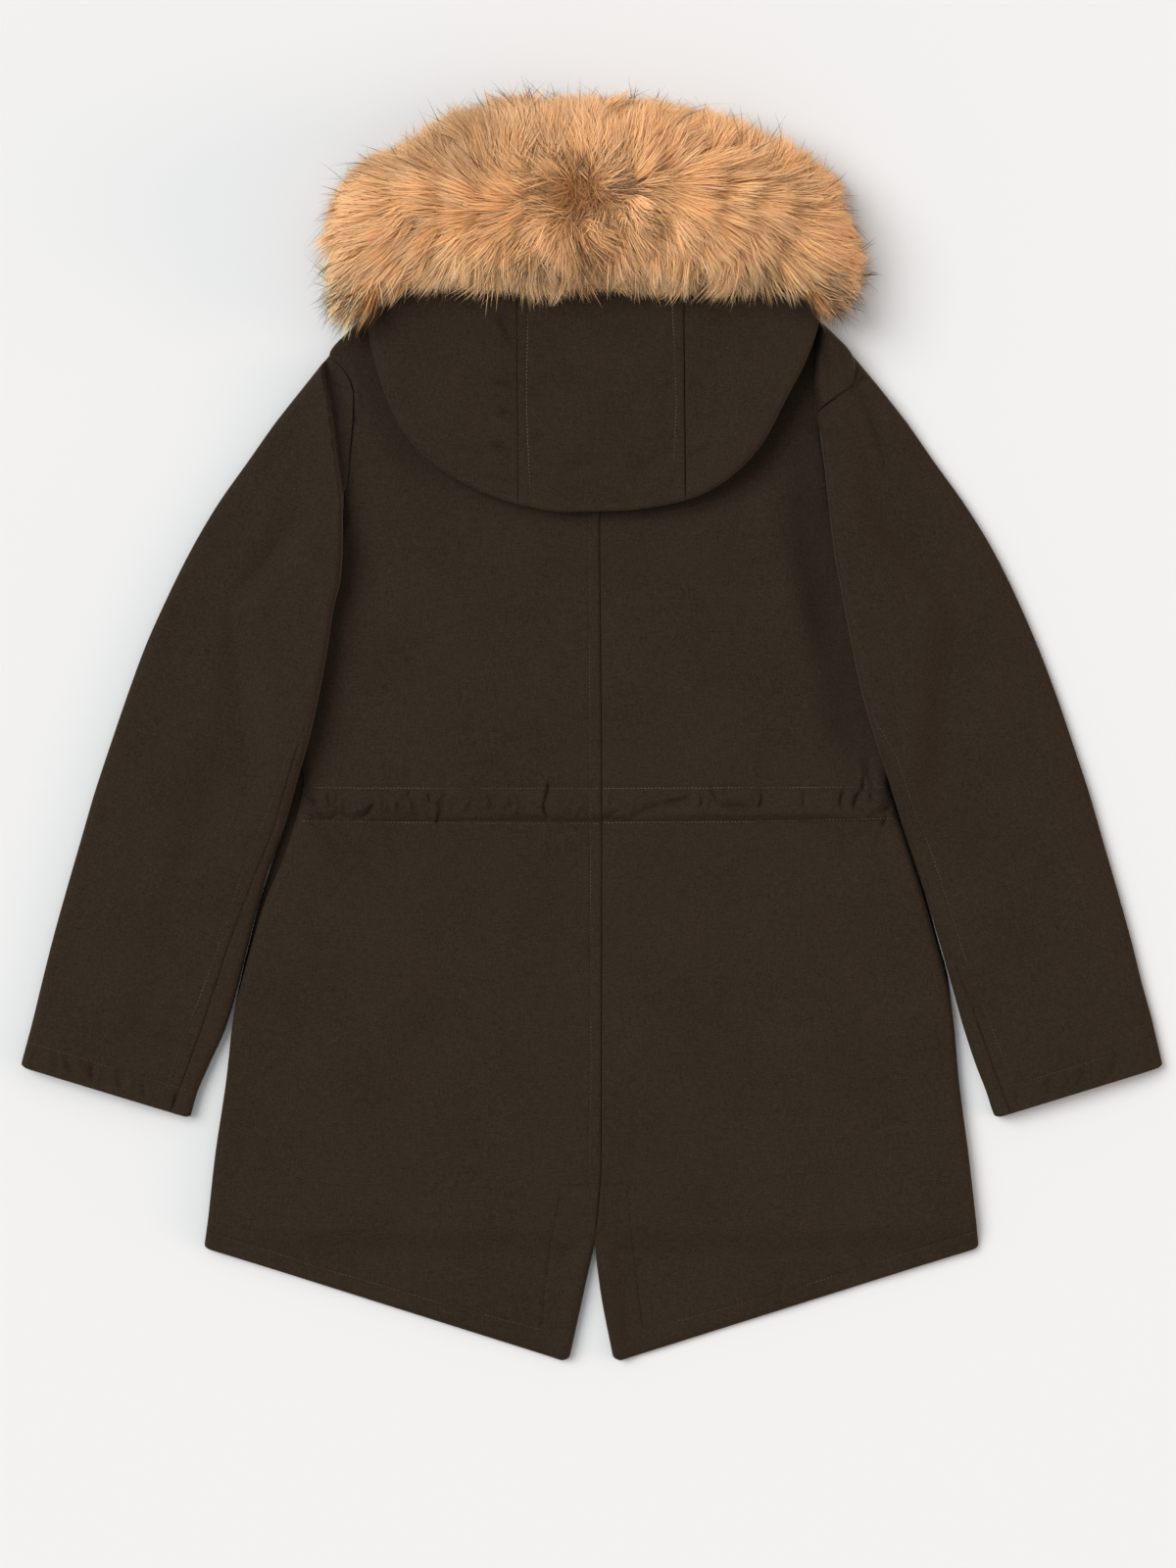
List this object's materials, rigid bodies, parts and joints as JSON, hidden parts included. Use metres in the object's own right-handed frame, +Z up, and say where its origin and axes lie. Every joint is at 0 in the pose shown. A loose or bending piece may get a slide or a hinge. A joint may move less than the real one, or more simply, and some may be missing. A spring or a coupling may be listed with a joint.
{
  "type": "fur trimmed parka",
  "caption": "Hip length hooded parka laid flat on its front, hood folded down over the back, with a deep fur trim, drawn-in waist and split fishtail hem.",
  "frame": {"origin": "on the surface that the parka lies on, under the middle of its outline", "axes": "+Y towards the hood, +X towards the right of the back as seen from above, +Z up from the surface"},
  "size_m": [0.885, 0.9847, 0.0868],
  "materials": {
    "dark_cotton": "matt dark khaki cotton twill",
    "golden_fur": "long golden fur pile with dark guard hairs"
  },
  "bodies": {
    "root": {"back_left": "dark_cotton", "back_right": "dark_cotton", "front_left": "dark_cotton", "front_right": "dark_cotton", "storm_flap": "dark_cotton", "sleeve_left": "dark_cotton", "sleeve_right": "dark_cotton", "hood_side_left": "dark_cotton", "hood_centre": "dark_cotton", "hood_side_right": "dark_cotton", "fur_trim": "golden_fur"}
  },
  "joints": []
}
